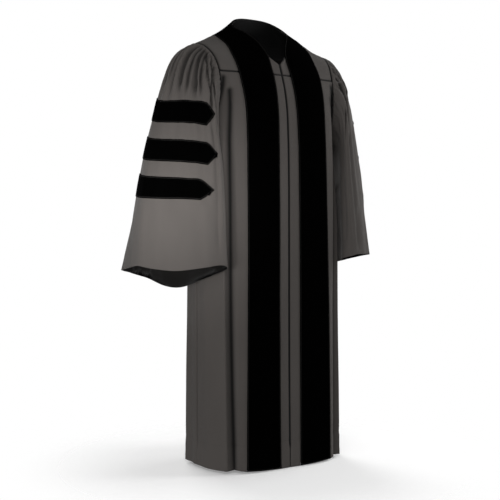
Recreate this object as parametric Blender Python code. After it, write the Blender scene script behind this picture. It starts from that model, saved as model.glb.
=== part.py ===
"""Doctoral gown: a long open-necked robe with velvet fronts and bell sleeves, filled out as when worn.

Every cut piece is one thin wall of cloth. Its outer face is a grid of points between the garment's own
lines: the zip edge, the velvet's edges, the pressed pleat, the side seam, the armhole and the yoke seams.
Neighbours share those lines and the cloth's direction there, so their edges meet face to face.
Heights in the tables are above the hem. The wearer's left is +X, and the front faces -Y.
"""
import math

import bmesh
import bpy
import numpy as np

# Driving sizes, in metres.
HOLD_HEIGHT = 1.300      # hem to the level of the shoulders, where the origin is
CLOTH = 0.0016           # thickness of a gown panel
VELVET = 0.0018          # thickness of a velvet band or bar
SATIN = 0.0010           # thickness of the neck lining and of the zip tape
SEAM_GAP = 0.0003        # space between two pieces at a seam
LAY_GAP = 0.0003         # space under a velvet front, and over the lining and the tape
BAR_GAP = 0.0005         # space under a sleeve bar
ZIP_GAP = 0.0034         # space between the two front edges at the zip
HEM_DROP = 0.009         # how much lower the hem hangs at the centre front
SEAM_HEIGHT = 1.193      # yoke seam across the chest
UNDERARM_LEVEL = 0.960   # centre height of the section that meets the underarm
BAR_HEIGHT_STEPS = 2     # bands across the height of one bar
CHEST_ROUNDING = 0.004   # how far a velvet front stands out between its two edges
SMOOTH_ANGLE = 50        # degrees between two faces past which their edge stays sharp
WELD_STEP = 1e-5         # points that round to the same step are one point
FINE_STEPS = 16          # steps that a curve is worked out in between two of its points
MIRROR = (-1, 1, 1)      # turns a point of the left side into its match on the right

# Stations round the armhole: 0 at the top, a quarter round at the front, half round at the underarm.
ARMHOLE_POINTS = 42
UNDERARM = ARMHOLE_POINTS // 2
ARMHOLE_EASING = 4       # times that the cloth's direction is evened out round the armhole
YOKE_STATION = 9         # the yoke seams meet the armhole this many stations from its top

# Columns of a front, from the zip edge to the side seam, as bands between its lines.
STRIP_BANDS = 2          # the zip tape reaches across the first of them
VELVET_BANDS = 3
SIDE_BANDS = 6
# Columns of the yoke and the back, from the armhole to the centre back.
RIDGE_BANDS = 2
BACK_YOKE_BANDS = 6
BACK_BANDS = 2 * (RIDGE_BANDS + BACK_YOKE_BANDS)

# The front half of a body section, by height.
FRONT = {
    "columns": "height zip_y inner_x inner_y outer_x outer_y pleat_x pleat_y",
    "rows": [
        (0.000, -0.1256, 0.036, -0.1290, 0.158, -0.1220, 0.178, -0.1110),
        (0.200, -0.1220, 0.037, -0.1250, 0.157, -0.1220, 0.180, -0.1080),
        (0.400, -0.1195, 0.037, -0.1230, 0.155, -0.1210, 0.181, -0.1060),
        (0.550, -0.1190, 0.037, -0.1220, 0.153, -0.1190, 0.181, -0.1050),
        (0.700, -0.1185, 0.036, -0.1215, 0.151, -0.1160, 0.182, -0.1040),
        (0.850, -0.1175, 0.036, -0.1195, 0.150, -0.1120, 0.182, -0.1020),
        (1.000, -0.1135, 0.035, -0.1155, 0.149, -0.1070, 0.182, -0.0970),
        (1.100, -0.1050, 0.033, -0.1065, 0.150, -0.0985, 0.183, -0.0880),
        (1.150, -0.0945, 0.032, -0.0955, 0.153, -0.0870, 0.184, -0.0785),
        (1.193, -0.0800, 0.031, -0.0805, 0.155, -0.0720, 0.184, -0.0670),
    ],
}
# The side and back of a body section, by height: the groove behind the pleat, the soft ridge and valley
# beside it, the flat of the side, the side seam, the centre back and the squareness of the back corner.
SIDE = {
    "columns": "height groove_x groove_y ridge_x ridge_y valley_x valley_y flat_x flat_y "
               "seam_x seam_y back_y corner flute",
    "rows": [
        (0.000, 0.182, -0.091, 0.214, -0.099, 0.227, -0.072, 0.238, -0.034, 0.238, 0.030, 0.180, 3.0, 0.0075),
        (0.300, 0.187, -0.085, 0.215, -0.092, 0.226, -0.060, 0.239, -0.026, 0.240, 0.030, 0.165, 3.0, 0.0070),
        (0.550, 0.188, -0.080, 0.216, -0.087, 0.226, -0.053, 0.240, -0.020, 0.240, 0.030, 0.155, 3.0, 0.0065),
        (0.800, 0.188, -0.078, 0.213, -0.081, 0.223, -0.047, 0.237, -0.014, 0.239, 0.030, 0.158, 2.8, 0.0060),
        (0.960, 0.188, -0.074, 0.207, -0.070, 0.217, -0.039, 0.230, -0.010, 0.235, 0.030, 0.160, 2.6, 0.0055),
        (1.100, 0.188, -0.072, 0.201, -0.062, 0.212, -0.040, 0.226, -0.012, 0.232, 0.030, 0.158, 2.4, 0.0040),
        (1.193, 0.188, -0.064, 0.197, -0.060, 0.205, -0.055, 0.210, -0.053, 0.213, 0.030, 0.148, 2.2, 0.0000),
    ],
}
# Centre heights of the body's sections from the hem up to the underarm.
BODY_LEVELS = (0.000, 0.075, 0.220, 0.370, 0.520, 0.660, 0.780, 0.880, UNDERARM_LEVEL)

# Four points of each sleeve ring, keyed by the height of its outer line. The first ring is the armhole.
SLEEVE = {
    "columns": "height outer_x outer_y front_x front_y front_z inner_x inner_y inner_z "
               "back_x back_y back_z fold sway",
    "rows": [
        (1.2875, 0.235, 0.050, 0.213, -0.062, 1.161, 0.235, 0.030, 0.985, 0.213, 0.118, 1.161, 0.0, 0.0),
        (1.2740, 0.262, 0.050, 0.219, -0.067, 1.155, 0.245, 0.030, 0.979, 0.218, 0.124, 1.155, 0.0040, 0.0),
        (1.2520, 0.289, 0.050, 0.226, -0.073, 1.147, 0.252, 0.030, 0.972, 0.227, 0.131, 1.147, 0.0050, 0.0),
        (1.2150, 0.311, 0.050, 0.233, -0.079, 1.135, 0.257, 0.030, 0.963, 0.238, 0.139, 1.136, 0.0042, 0.0),
        (1.1500, 0.333, 0.049, 0.241, -0.086, 1.105, 0.262, 0.030, 0.950, 0.251, 0.149, 1.124, 0.0030, 0.0),
        (1.1060, 0.348, 0.048, 0.245, -0.090, 1.069, 0.263, 0.030, 0.937, 0.258, 0.154, 1.103, 0.0022, 0.0),
        (1.0400, 0.365, 0.048, 0.247, -0.098, 1.004, 0.264, 0.030, 0.905, 0.267, 0.162, 1.039, 0.0014, 0.0),
        (0.9580, 0.384, 0.050, 0.245, -0.110, 0.925, 0.264, 0.030, 0.850, 0.278, 0.172, 0.957, 0.0012, 0.0),
        (0.8460, 0.405, 0.050, 0.247, -0.123, 0.820, 0.264, 0.030, 0.762, 0.294, 0.183, 0.847, 0.0010, 0.001),
        (0.7200, 0.419, 0.046, 0.251, -0.134, 0.718, 0.265, 0.030, 0.665, 0.328, 0.200, 0.708, 0.0010, 0.003),
    ],
}
# The open edge of each sleeve: the height of its outer, front, inner and back points.
CUFF_HEIGHTS = {"right": (0.606, 0.616, 0.545, 0.580), "left": (0.628, 0.640, 0.600, 0.588)}
CUFF_PLACES = {"outer": (0.430, 0.041), "front": (0.255, -0.143), "inner": (0.266, 0.030),
               "back": (0.362, 0.216)}
# How much lower the open edge hangs than those four points say, by station. The left one hangs straighter.
CUFF_DROP = {
    "columns": "station drop",
    "rows": [(0, -0.007), (2, 0.007), (4, 0.018), (7, 0.014), (10, 0.001), (13, -0.009), (16, -0.018),
             (19, -0.016), (23, 0.002), (27, -0.004), (33, 0.000), (42, -0.007)],
}
CUFF_DROP_SHARE = {"right": 1.0, "left": 0.2}
CUFF_FOLD = 0.0008
CUFF_SWAY = 0.0045
SWAY_WAVES = 6           # soft waves round the open edge of a sleeve
WAVE_START = 1.0         # where round the sleeve its waves start, in radians
FOLD_VARIATION = 0.3     # how unevenly deep the gathers of a sleeve head are
FOLD_VARIATIONS = 5      # times round the sleeve that the gathers grow and fade
# Heights of the gathered rings, on the outer line.
GATHERED_LEVELS = (1.277, 1.252, 1.200, 1.148)
# The sleeve bars: heights of each one's edges on the outer line, its corners and tips as stations round the
# sleeve, and how far up from mid-height to the top edge its front tip lies.
# The left sleeve is turned further back on its arm, and its bars with it.
BARS = {
    "columns": "top bottom front_tip front_corner back_corner back_tip tip_rise",
    "rows": [
        (1.106, 1.040, 10, 8, -5, -7, 0.50),
        (0.992, 0.925, 10, 8, -5, -7, 0.40),
        (0.880, 0.813, 9, 7, -5, -7, 0.20),
    ],
}
BAR_TURN = {"right": 0, "left": -7}

# The neckline from the yoke seam up the velvet's inner edge to the side of the neck, then to the centre back.
NECK_FRONT = [(0.031, -0.0670, 1.220), (0.031, -0.0530, 1.250), (0.040, -0.036, 1.280),
              (0.057, -0.017, 1.308), (0.078, 0.008, 1.331), (0.097, 0.036, 1.347)]
NECK_BACK = [(0.093, 0.058, 1.363), (0.075, 0.075, 1.379), (0.041, 0.085, 1.389), (0.0, 0.088, 1.391)]
# The velvet's outer edge over the shoulder, and across the back.
BAND_FRONT = [(0.156, -0.057, 1.220), (0.157, -0.035, 1.250), (0.159, -0.009, 1.281), (0.168, 0.045, 1.318)]
BAND_BACK = [(0.152, 0.088, 1.320), (0.108, 0.113, 1.320), (0.055, 0.124, 1.319), (0.0, 0.127, 1.318)]
# The centre back below the velvet, down to the back yoke seam.
CENTRE_BACK = [(0.0, 0.140, 1.255)]
NECK_OPENING_STATION = 6  # where the open front's edge meets the velvet, as a station of the yoke
V_BOTTOM = (-0.067, 1.229)
LINING_ROWS = 4          # bands of the yoke under the velvet that the lining also covers
GATHER_RISE = 0.5        # share of the way to the centre back over which a row's height settles
FLUTE_RISE = 0.25        # share of that way over which the flutes grow to their full depth
FLUTE_BANDS = 4          # columns of the back that one flute takes

FRONT_SPAN = SEAM_HEIGHT - UNDERARM_LEVEL

CLOTH_COLOUR = (0.085, 0.077, 0.071)
VELVET_COLOUR = (0.004, 0.004, 0.004)
SATIN_COLOUR = (0.010, 0.010, 0.010)


def column(table, name, height):
    """One named column of a table at a height, on a smooth curve through its rows."""
    place = table["columns"].split().index(name)
    rows = sorted(table["rows"])
    heights = np.array([row[0] for row in rows])
    values = np.array([row[place] for row in rows])
    slopes = np.gradient(values, heights)
    height = min(max(height, heights[0]), heights[-1])
    low = min(int(np.searchsorted(heights, height, side="right")) - 1, len(rows) - 2)
    step = heights[low + 1] - heights[low]
    t = (height - heights[low]) / step
    return float((2 * t**3 - 3 * t**2 + 1) * values[low] + (t**3 - 2 * t**2 + t) * step * slopes[low]
                 + (3 * t**2 - 2 * t**3) * values[low + 1] + (t**3 - t**2) * step * slopes[low + 1])


def read(table, height, *names):
    """Several columns of a table at one height."""
    return [column(table, name, height) for name in names]


def smooth_curve(points):
    """Close points on a smooth curve through the given ones."""
    points = np.asarray(points, float)
    pace = np.concatenate([[0], np.cumsum(np.linalg.norm(np.diff(points, axis=0), axis=1) ** 0.5)])
    slopes = np.gradient(points, pace, axis=0)
    found = [points[0]]
    for i in range(len(points) - 1):
        step = pace[i + 1] - pace[i]
        for t in np.linspace(0, 1, FINE_STEPS + 1)[1:]:
            found.append((2 * t**3 - 3 * t**2 + 1) * points[i] + (t**3 - 2 * t**2 + t) * step * slopes[i]
                         + (3 * t**2 - 2 * t**3) * points[i + 1] + (t**3 - t**2) * step * slopes[i + 1])
    return np.array(found)


def spaced(points, bands):
    """Evenly spaced points along a smooth curve, with its two ends kept exactly."""
    curve = smooth_curve(points)
    length = np.concatenate([[0], np.cumsum(np.linalg.norm(np.diff(curve, axis=0), axis=1))])
    wanted = np.linspace(0, length[-1], bands + 1)
    found = np.stack([np.interp(wanted, length, curve[:, axis]) for axis in range(3)], axis=1)
    found[0] = points[0]
    found[-1] = points[-1]
    return found


def straight(start, end, bands):
    """Evenly spaced points on a straight line, without its first."""
    share = np.arange(1, bands + 1)[:, None] / bands
    return np.asarray(start) * (1 - share) + np.asarray(end) * share


def four_sided(first, last, left, right):
    """A grid that fills the space between four edge lines: two rows and two columns."""
    first, last, left, right = (np.asarray(line, float) for line in (first, last, left, right))
    u = np.linspace(0, 1, len(first))[None, :, None]
    v = np.linspace(0, 1, len(left))[:, None, None]
    corners = ((1 - u) * (1 - v) * first[0] + u * (1 - v) * first[-1]
               + (1 - u) * v * last[0] + u * v * last[-1])
    grid = (1 - v) * first + v * last + (1 - u) * left[:, None] + u * right[:, None] - corners
    grid[0], grid[-1], grid[:, 0], grid[:, -1] = first, last, left, right
    return grid


def ring(outer, front, inner, back, turns):
    """A closed loop through four points, at the given shares of a turn."""
    outer, front, inner, back = (np.asarray(point, float) for point in (outer, front, inner, back))
    angle = 2 * math.pi * np.asarray(turns, float)[:, None]
    middle = (outer + front + inner + back) / 4
    oval = (outer - front + inner - back) / 4
    return (middle + np.cos(angle) * (outer - inner) / 2 + np.sin(angle) * (front - back) / 2
            + np.cos(2 * angle) * oval)


def table_ring(table, height, turns):
    """The sleeve ring whose outer line is at a height."""
    outer = read(table, height, "outer_x", "outer_y") + [height]
    front = read(table, height, "front_x", "front_y", "front_z")
    inner = read(table, height, "inner_x", "inner_y", "inner_z")
    back = read(table, height, "back_x", "back_y", "back_z")
    return ring(outer, front, inner, back, turns)


ARMHOLE_TOP = max(row[0] for row in SLEEVE["rows"])
ARMHOLE = table_ring(SLEEVE, ARMHOLE_TOP, np.arange(ARMHOLE_POINTS) / ARMHOLE_POINTS)


def key(point):
    """A point's name, in whole weld steps, by which the pieces at a seam find each other."""
    return tuple(int(value) for value in np.round(np.asarray(point) / WELD_STEP))


class Sheet:
    """The outer face of one cut piece, as welded patches."""

    def __init__(self, name):
        self.name = name
        self.points = []
        self.places = {}
        self.faces = []

    def place(self, point):
        name = key(point)
        if name not in self.places:
            self.places[name] = len(self.points)
            self.points.append(np.asarray(point, float))
        return self.places[name]

    def face(self, corners):
        """Adds one face, as triangles, with the corners that fall together left out."""
        numbers = [self.place(corner) for corner in corners]
        kept = [n for i, n in enumerate(numbers) if n != numbers[i - 1]]
        for i in range(1, len(kept) - 1):
            self.faces.append((kept[0], kept[i], kept[i + 1]))

    def grid(self, grid):
        """Adds a patch whose rows run upwards when its columns run anticlockwise, seen from above."""
        for low, high in zip(grid[:-1], grid[1:]):
            for i in range(len(low) - 1):
                self.face((low[i], low[i + 1], high[i + 1], high[i]))

    def halving(self, fine, coarse, rising):
        """Joins a closed row to the next one, which has half as many points and lies below it, or above."""
        count = len(coarse)
        for i in range(count):
            following = (i + 1) % count
            middle = fine[2 * i + 1]
            for face in ((coarse[i], middle, fine[2 * i]), (coarse[i], coarse[following], middle),
                         (coarse[following], fine[(2 * i + 2) % (2 * count)], middle)):
                self.face(face[::-1] if rising else face)

    def mirrored(self, name):
        """The same piece for the other side of the body."""
        other = Sheet(name)
        for face in self.faces:
            other.face([self.points[n] * MIRROR for n in reversed(face)])
        return other

    def join(self, other):
        """Takes in another piece's faces, welded where they meet."""
        for face in other.faces:
            self.face([other.points[n] for n in face])


def front_row(height, edge=None):
    """A front's row from the zip edge to the side seam, or to a point of the armhole above the underarm."""
    zip_y, inner_x, inner_y, outer_x, outer_y, pleat_x, pleat_y = read(
        FRONT, height, *FRONT["columns"].split()[1:])
    zip_edge = (ZIP_GAP / 2, zip_y, height)
    inner = (inner_x, inner_y, height)
    outer = (outer_x, outer_y, height)
    pleat = (pleat_x, pleat_y, height)
    if edge is None:
        edge = read(SIDE, height, "seam_x", "seam_y") + [height]
    middle = [(inner_x * (1 - share) + outer_x * share, inner_y * (1 - share) + outer_y * share
               - CHEST_ROUNDING * math.sin(math.pi * share), height)
              for share in np.arange(1, VELVET_BANDS) / VELVET_BANDS]
    folds = [read(SIDE, height, name + "_x", name + "_y") for name in ("groove", "ridge", "valley", "flat")]
    folds.append([(folds[-1][0] + edge[0]) / 2, (folds[-1][1] + edge[1]) / 2])
    level = straight(pleat, edge, SIDE_BANDS)[:-1]
    rising = min(1.0, max(0.0, (height - UNDERARM_LEVEL) / FRONT_SPAN))
    sides = [np.array([fold[0], fold[1], point[2]]) * (1 - rising) + point * rising
             for fold, point in zip(folds, level)]
    strip = straight(zip_edge, inner, STRIP_BANDS)
    return np.array([zip_edge, *strip, *middle, outer, pleat, *sides, edge], float)


def armhole_level(station):
    """The centre height of the body section that meets a station of the armhole."""
    share = (UNDERARM - station) / (UNDERARM - YOKE_STATION)
    return UNDERARM_LEVEL + FRONT_SPAN * share


def front_grid():
    """A front's points, from the hem to the yoke seam."""
    rows = [front_row(level) for level in BODY_LEVELS[:-1]]
    for station in range(UNDERARM, YOKE_STATION - 1, -1):
        rows.append(front_row(armhole_level(station), ARMHOLE[station]))
    grid = np.array(rows)
    reach = np.clip(1 - grid[0, :, 0] / grid[0, STRIP_BANDS + VELVET_BANDS + 1, 0], 0, 1)
    grid[0, :, 2] -= HEM_DROP * np.sqrt(reach)
    return grid


def back_row(height, edge, bands, flute):
    """A row round the back from an edge point to the centre back, with soft flutes."""
    back_y, corner = read(SIDE, height, "back_y", "corner")
    turn = np.linspace(0, 1, bands * FINE_STEPS + 1) * math.pi / 2
    x = edge[0] * np.cos(turn) ** (2 / corner)
    y = edge[1] + (back_y - edge[1]) * np.sin(turn) ** (2 / corner)
    length = np.concatenate([[0], np.cumsum(np.hypot(np.diff(x), np.diff(y)))])
    share = np.linspace(0, 1, bands + 1)
    x, y = np.interp(share * length[-1], length, x), np.interp(share * length[-1], length, y)
    out = np.stack([np.gradient(y), -np.gradient(x)], axis=1)
    out /= np.linalg.norm(out, axis=1)[:, None]
    flutes = bands / FLUTE_BANDS
    depth = flute * np.cos(2 * math.pi * flutes * share) * np.clip(share / FLUTE_RISE, 0, 1)
    rise = np.clip(share / GATHER_RISE, 0, 1)
    z = edge[2] + (height - edge[2]) * rise * rise * (3 - 2 * rise)
    row = np.stack([x + out[:, 0] * depth, y + out[:, 1] * depth, z], axis=1)
    row[0] = edge
    row[-1, 0] = 0.0
    return row


def back_grid(seam):
    """The left half of the back, from the hem to the back yoke seam, which is given."""
    rows = []
    for level in BODY_LEVELS[:-1]:
        edge = read(SIDE, level, "seam_x", "seam_y") + [level]
        rows.append(back_row(level, edge, BACK_BANDS, column(SIDE, "flute", level)))
    for station in range(UNDERARM, YOKE_STATION, -1):
        level = armhole_level(station)
        edge = ARMHOLE[ARMHOLE_POINTS - station]
        rows.append(back_row(level, edge, BACK_BANDS, column(SIDE, "flute", level)))
    halfway = (seam[:-1] + seam[1:]) / 2
    last = np.empty((BACK_BANDS + 1, 3))
    last[::2], last[1::2] = seam, halfway
    return np.array(rows + [last])


def yoke_patches(seam_row):
    """The left half of the yoke: opening corner, shoulder, band under the velvet, and back."""
    first_outer = STRIP_BANDS + VELVET_BANDS
    neck = spaced([seam_row[STRIP_BANDS], *NECK_FRONT], YOKE_STATION)
    band = spaced([seam_row[first_outer], *BAND_FRONT], YOKE_STATION)
    neck_back = spaced([neck[-1], *NECK_BACK], BACK_YOKE_BANDS)
    band_back = spaced([band[-1], *BAND_BACK], BACK_YOKE_BANDS)
    armhole_front = ARMHOLE[YOKE_STATION::-1]
    armhole_back = ARMHOLE[-np.arange(YOKE_STATION + 1)]
    ridge = np.array([band[-1], *straight(band[-1], ARMHOLE[0], RIDGE_BANDS)])
    over = np.array([neck[-1], *straight(neck[-1], band[-1], VELVET_BANDS)])
    centre_neck = np.array([neck_back[-1], *straight(neck_back[-1], band_back[-1], VELVET_BANDS)])
    back_seam = back_row(SEAM_HEIGHT, armhole_back[-1], RIDGE_BANDS + BACK_YOKE_BANDS, 0.0)
    centre_back = spaced([band_back[-1], *CENTRE_BACK, back_seam[-1]], YOKE_STATION)
    chest = seam_row[[first_outer, first_outer + 1, -1]]
    under = seam_row[STRIP_BANDS:first_outer + 1]
    corner = [seam_row[:STRIP_BANDS + 1]]
    open_rows = YOKE_STATION - NECK_OPENING_STATION
    v_edge = spaced([seam_row[0], (ZIP_GAP / 2, *V_BOTTOM)], open_rows - 1)[1:]
    for point, side in zip(v_edge, neck[1:]):
        corner.append(np.array([point, *straight(point, side, STRIP_BANDS)]))
    corner.append(np.array([neck[open_rows]] * (STRIP_BANDS + 1)))
    top = np.concatenate([ridge[::-1], band_back[1:]])
    return {
        "corner": np.array(corner),
        "shoulder": four_sided(chest, ridge, band, armhole_front),
        "under_front": four_sided(under, over, neck, band),
        "under_back": four_sided(over, centre_neck, neck_back, band_back),
        "back": four_sided(back_seam, top, armhole_back[::-1], centre_back[::-1]),
    }


def cuff_table(side):
    """The sleeve table with this side's open edge as its last ring."""
    outer_z, front_z, inner_z, back_z = CUFF_HEIGHTS[side]
    places = CUFF_PLACES
    last = (outer_z, *places["outer"], *places["front"], front_z, *places["inner"], inner_z,
            *places["back"], back_z, CUFF_FOLD, CUFF_SWAY)
    return {"columns": SLEEVE["columns"], "rows": SLEEVE["rows"] + [last]}


def sleeve_ring(table, height, count):
    """A sleeve ring with its gathers and soft waves."""
    turns = np.arange(count) / count
    points = table_ring(table, height, turns)
    ahead = np.roll(points, -1, axis=0) - np.roll(points, 1, axis=0)
    out = np.stack([-ahead[:, 1], ahead[:, 0]], axis=1)
    away = points[:, :2] - points[:, :2].mean(axis=0)
    out *= np.sign(np.sum(out * away, axis=1))[:, None] / np.linalg.norm(out, axis=1)[:, None]
    angle = 2 * math.pi * turns
    crown = np.sqrt((1 + np.cos(angle)) / 2)
    uneven = 1 + FOLD_VARIATION * np.sin(FOLD_VARIATIONS * angle + WAVE_START)
    fold, sway = read(table, height, "fold", "sway")
    depth = (fold * np.cos(angle * ARMHOLE_POINTS / 2) * crown * uneven
             + sway * np.sin(SWAY_WAVES * angle + WAVE_START))
    points[:, :2] += out * depth[:, None]
    return points


def sleeve_rings(side):
    """The rings of a left-hand sleeve below the armhole, the gathered ones with twice the points."""
    table = cuff_table(side)
    gathered = [sleeve_ring(table, level, 2 * ARMHOLE_POINTS) for level in GATHERED_LEVELS]
    levels = [level for top, bottom, *_ in BARS["rows"]
              for level in np.linspace(top, bottom, BAR_HEIGHT_STEPS + 1)]
    cuff = CUFF_HEIGHTS[side][0]
    levels += [(levels[-1] + cuff) / 2, cuff]
    plain = [sleeve_ring(table, level, ARMHOLE_POINTS) for level in levels]
    drop = [column(CUFF_DROP, "drop", station) for station in range(ARMHOLE_POINTS)]
    plain[-1][:, 2] -= CUFF_DROP_SHARE[side] * np.array(drop)
    return gathered, plain


def closed_rows(rows):
    """Rows of a tube from the bottom up, each closed on its first point."""
    return [np.concatenate([row, row[:1]])[::-1] for row in reversed(rows)]


def sleeve_sheet(name, gathered, plain):
    """A left-hand sleeve."""
    sheet = Sheet(name)
    sheet.grid(closed_rows(plain))
    sheet.grid(closed_rows(gathered))
    fine = -np.arange(2 * ARMHOLE_POINTS)
    coarse = -np.arange(ARMHOLE_POINTS)
    sheet.halving(gathered[-1][fine], plain[0][coarse], rising=False)
    sheet.halving(gathered[0][fine], ARMHOLE[coarse], rising=True)
    return sheet


def shared_directions(sheets, halfway):
    """The cloth's outward direction at every point, shared by all the pieces that meet there."""
    found = {}
    for sheet in sheets:
        for a, b, c in sheet.faces:
            corners = [sheet.points[n] for n in (a, b, c)]
            across = np.cross(corners[1] - corners[0], corners[2] - corners[0])
            for corner in corners:
                found[key(corner)] = found.get(key(corner), 0) + across
    for name in found:
        found[name] = found[name] / np.linalg.norm(found[name])
    for side in ((1, 1, 1), MIRROR):
        names = [key(point * side) for point in ARMHOLE]
        for _ in range(ARMHOLE_EASING):
            towards = np.array([found[name] for name in names])
            towards = 2 * towards + np.roll(towards, 1, axis=0) + np.roll(towards, -1, axis=0)
            for name, direction in zip(names, towards):
                found[name] = direction / np.linalg.norm(direction)
    for point, first, second, share in halfway:
        found[key(point)] = found[key(first)] * (1 - share) + found[key(second)] * share
    return found


def drawn_in(sheet, directions, distance):
    """A piece's points, with those on its edges drawn in across the edge."""
    points = np.array(sheet.points)
    edges = {(face[i], face[(i + 1) % 3]) for face in sheet.faces for i in range(3)}
    inward = {}
    for a, b in edges:
        if (b, a) in edges:
            continue
        for n in (a, b):
            across = np.cross(directions[key(sheet.points[n])], sheet.points[b] - sheet.points[a])
            inward.setdefault(n, []).append(across / np.linalg.norm(across))
    for n, (one, two) in inward.items():
        points[n] += distance * (one + two) / (1 + float(one @ two))
    return points


def wall(sheet, outer, inner, material):
    """One closed solid between an outer and an inner face, with its edges split as its neighbours' are."""
    name, faces = sheet.name, sheet.faces
    mesh = bmesh.new()
    offset = (0.0, 0.0, HOLD_HEIGHT)
    tops = [mesh.verts.new(point - offset) for point in outer]
    bottoms = [mesh.verts.new(point - offset) for point in inner]
    edges = {(face[i], face[(i + 1) % 3]) for face in faces for i in range(3)}
    for a, b, c in faces:
        mesh.faces.new((tops[a], tops[b], tops[c]))
        mesh.faces.new((bottoms[c], bottoms[b], bottoms[a]))
    for a, b in sorted(edges):
        if (b, a) in edges:
            continue
        if tuple(sheet.points[a][::-1]) < tuple(sheet.points[b][::-1]):
            mesh.faces.new((tops[b], tops[a], bottoms[a]))
            mesh.faces.new((tops[b], bottoms[a], bottoms[b]))
        else:
            mesh.faces.new((tops[b], tops[a], bottoms[b]))
            mesh.faces.new((tops[a], bottoms[a], bottoms[b]))
    data = bpy.data.meshes.new(name)
    mesh.to_mesh(data)
    mesh.free()
    data.shade_smooth()
    data.set_sharp_from_angle(angle=math.radians(SMOOTH_ANGLE))
    data.materials.append(material)
    piece = bpy.data.objects.new(name, data)
    GOWN.objects.link(piece)
    return piece


def cloth_piece(sheet, directions, material):
    """A panel of the gown: its outer face, drawn in at the seams, and the wall behind it."""
    outer = drawn_in(sheet, directions, SEAM_GAP / 2)
    towards = np.array([directions[key(point)] for point in sheet.points])
    return wall(sheet, outer, outer - towards * CLOTH, material)


def laid_piece(sheet, directions, low, high, material):
    """A piece that lies on the panels, or behind them: their points moved along the cloth's direction."""
    base = drawn_in(sheet, directions, SEAM_GAP / 2)
    towards = np.array([directions[key(point)] for point in sheet.points])
    return wall(sheet, base + towards * high, base + towards * low, material)


def velvet_sheet(name, front, patches):
    """A velvet front: the columns between its two edges, from the hem to the centre back."""
    sheet = Sheet(name)
    sheet.grid(front[:, STRIP_BANDS:STRIP_BANDS + VELVET_BANDS + 1])
    sheet.grid(patches["under_front"])
    sheet.grid(patches["under_back"])
    return sheet


def bar_sheet(name, rings, stations, tip_rise, directions):
    """One bar from its three rings of a left-hand sleeve, pointed at both ends."""
    top, middle, bottom = rings
    front_tip, front_corner, back_corner, back_tip = stations
    sheet = Sheet(name)
    between = list(range(front_corner, back_corner - 1, -1))
    sheet.grid([bottom[between], middle[between], top[between]])
    for corner, tip, rise in ((front_corner, front_tip, tip_rise), (back_corner, back_tip, 0.0)):
        half = (corner + tip) // 2
        point = middle[tip] * (1 - rise) + top[tip] * rise
        directions[key(point)] = directions[key(middle[tip])] * (1 - rise) + directions[key(top[tip])] * rise
        above, below = (1 + rise) / 2, (1 - rise) / 2
        upper = middle[half] * (1 - above) + top[half] * above
        lower = middle[half] * (1 - below) + bottom[half] * below
        for edge, end, share in ((upper, top[half], above), (lower, bottom[half], below)):
            directions[key(edge)] = (directions[key(middle[half])] * (1 - share)
                                     + directions[key(end)] * share)
        near = (upper, middle[half], lower)
        far = (top[corner], middle[corner], bottom[corner])
        quads = [(far[1], middle[half], upper, far[0]), (far[2], lower, middle[half], far[1])]
        ends = [(near[1], point, near[0]), (near[2], point, near[1])]
        for face in quads + ends:
            sheet.face(face if tip < corner else face[::-1])
    return sheet


def tape_sheet(front, patches, directions):
    """The zip tape, behind the strips beside the zip, from the hem to the bottom of the open neck."""
    half = Sheet("zip_tape")
    rows = []
    for edge, side in [row[:2] for row in front] + [row[:2] for row in patches["corner"][1:-1]]:
        centre = edge * (0, 1, 1)
        flat = directions[key(edge)] * (0, 1, 1)
        directions[key(centre)] = flat / np.linalg.norm(flat)
        rows.append(np.array([centre, side]))
    half.grid(rows)
    half.join(half.mirrored("zip_tape"))
    return half


def lining_sheet(patches):
    """The satin lining inside the back of the neck."""
    half = Sheet("neck_lining")
    half.grid(patches["under_back"])
    half.grid(patches["back"][-1 - LINING_ROWS:, RIDGE_BANDS:])
    half.join(half.mirrored("neck_lining"))
    return half


def principled(name, colour, roughness):
    material = bpy.data.materials.new(name)
    material.use_nodes = True
    shader = material.node_tree.nodes["Principled BSDF"]
    shader.inputs["Base Color"].default_value = (*colour, 1.0)
    shader.inputs["Roughness"].default_value = roughness
    shader.inputs["Metallic"].default_value = 0.0
    return material


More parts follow.
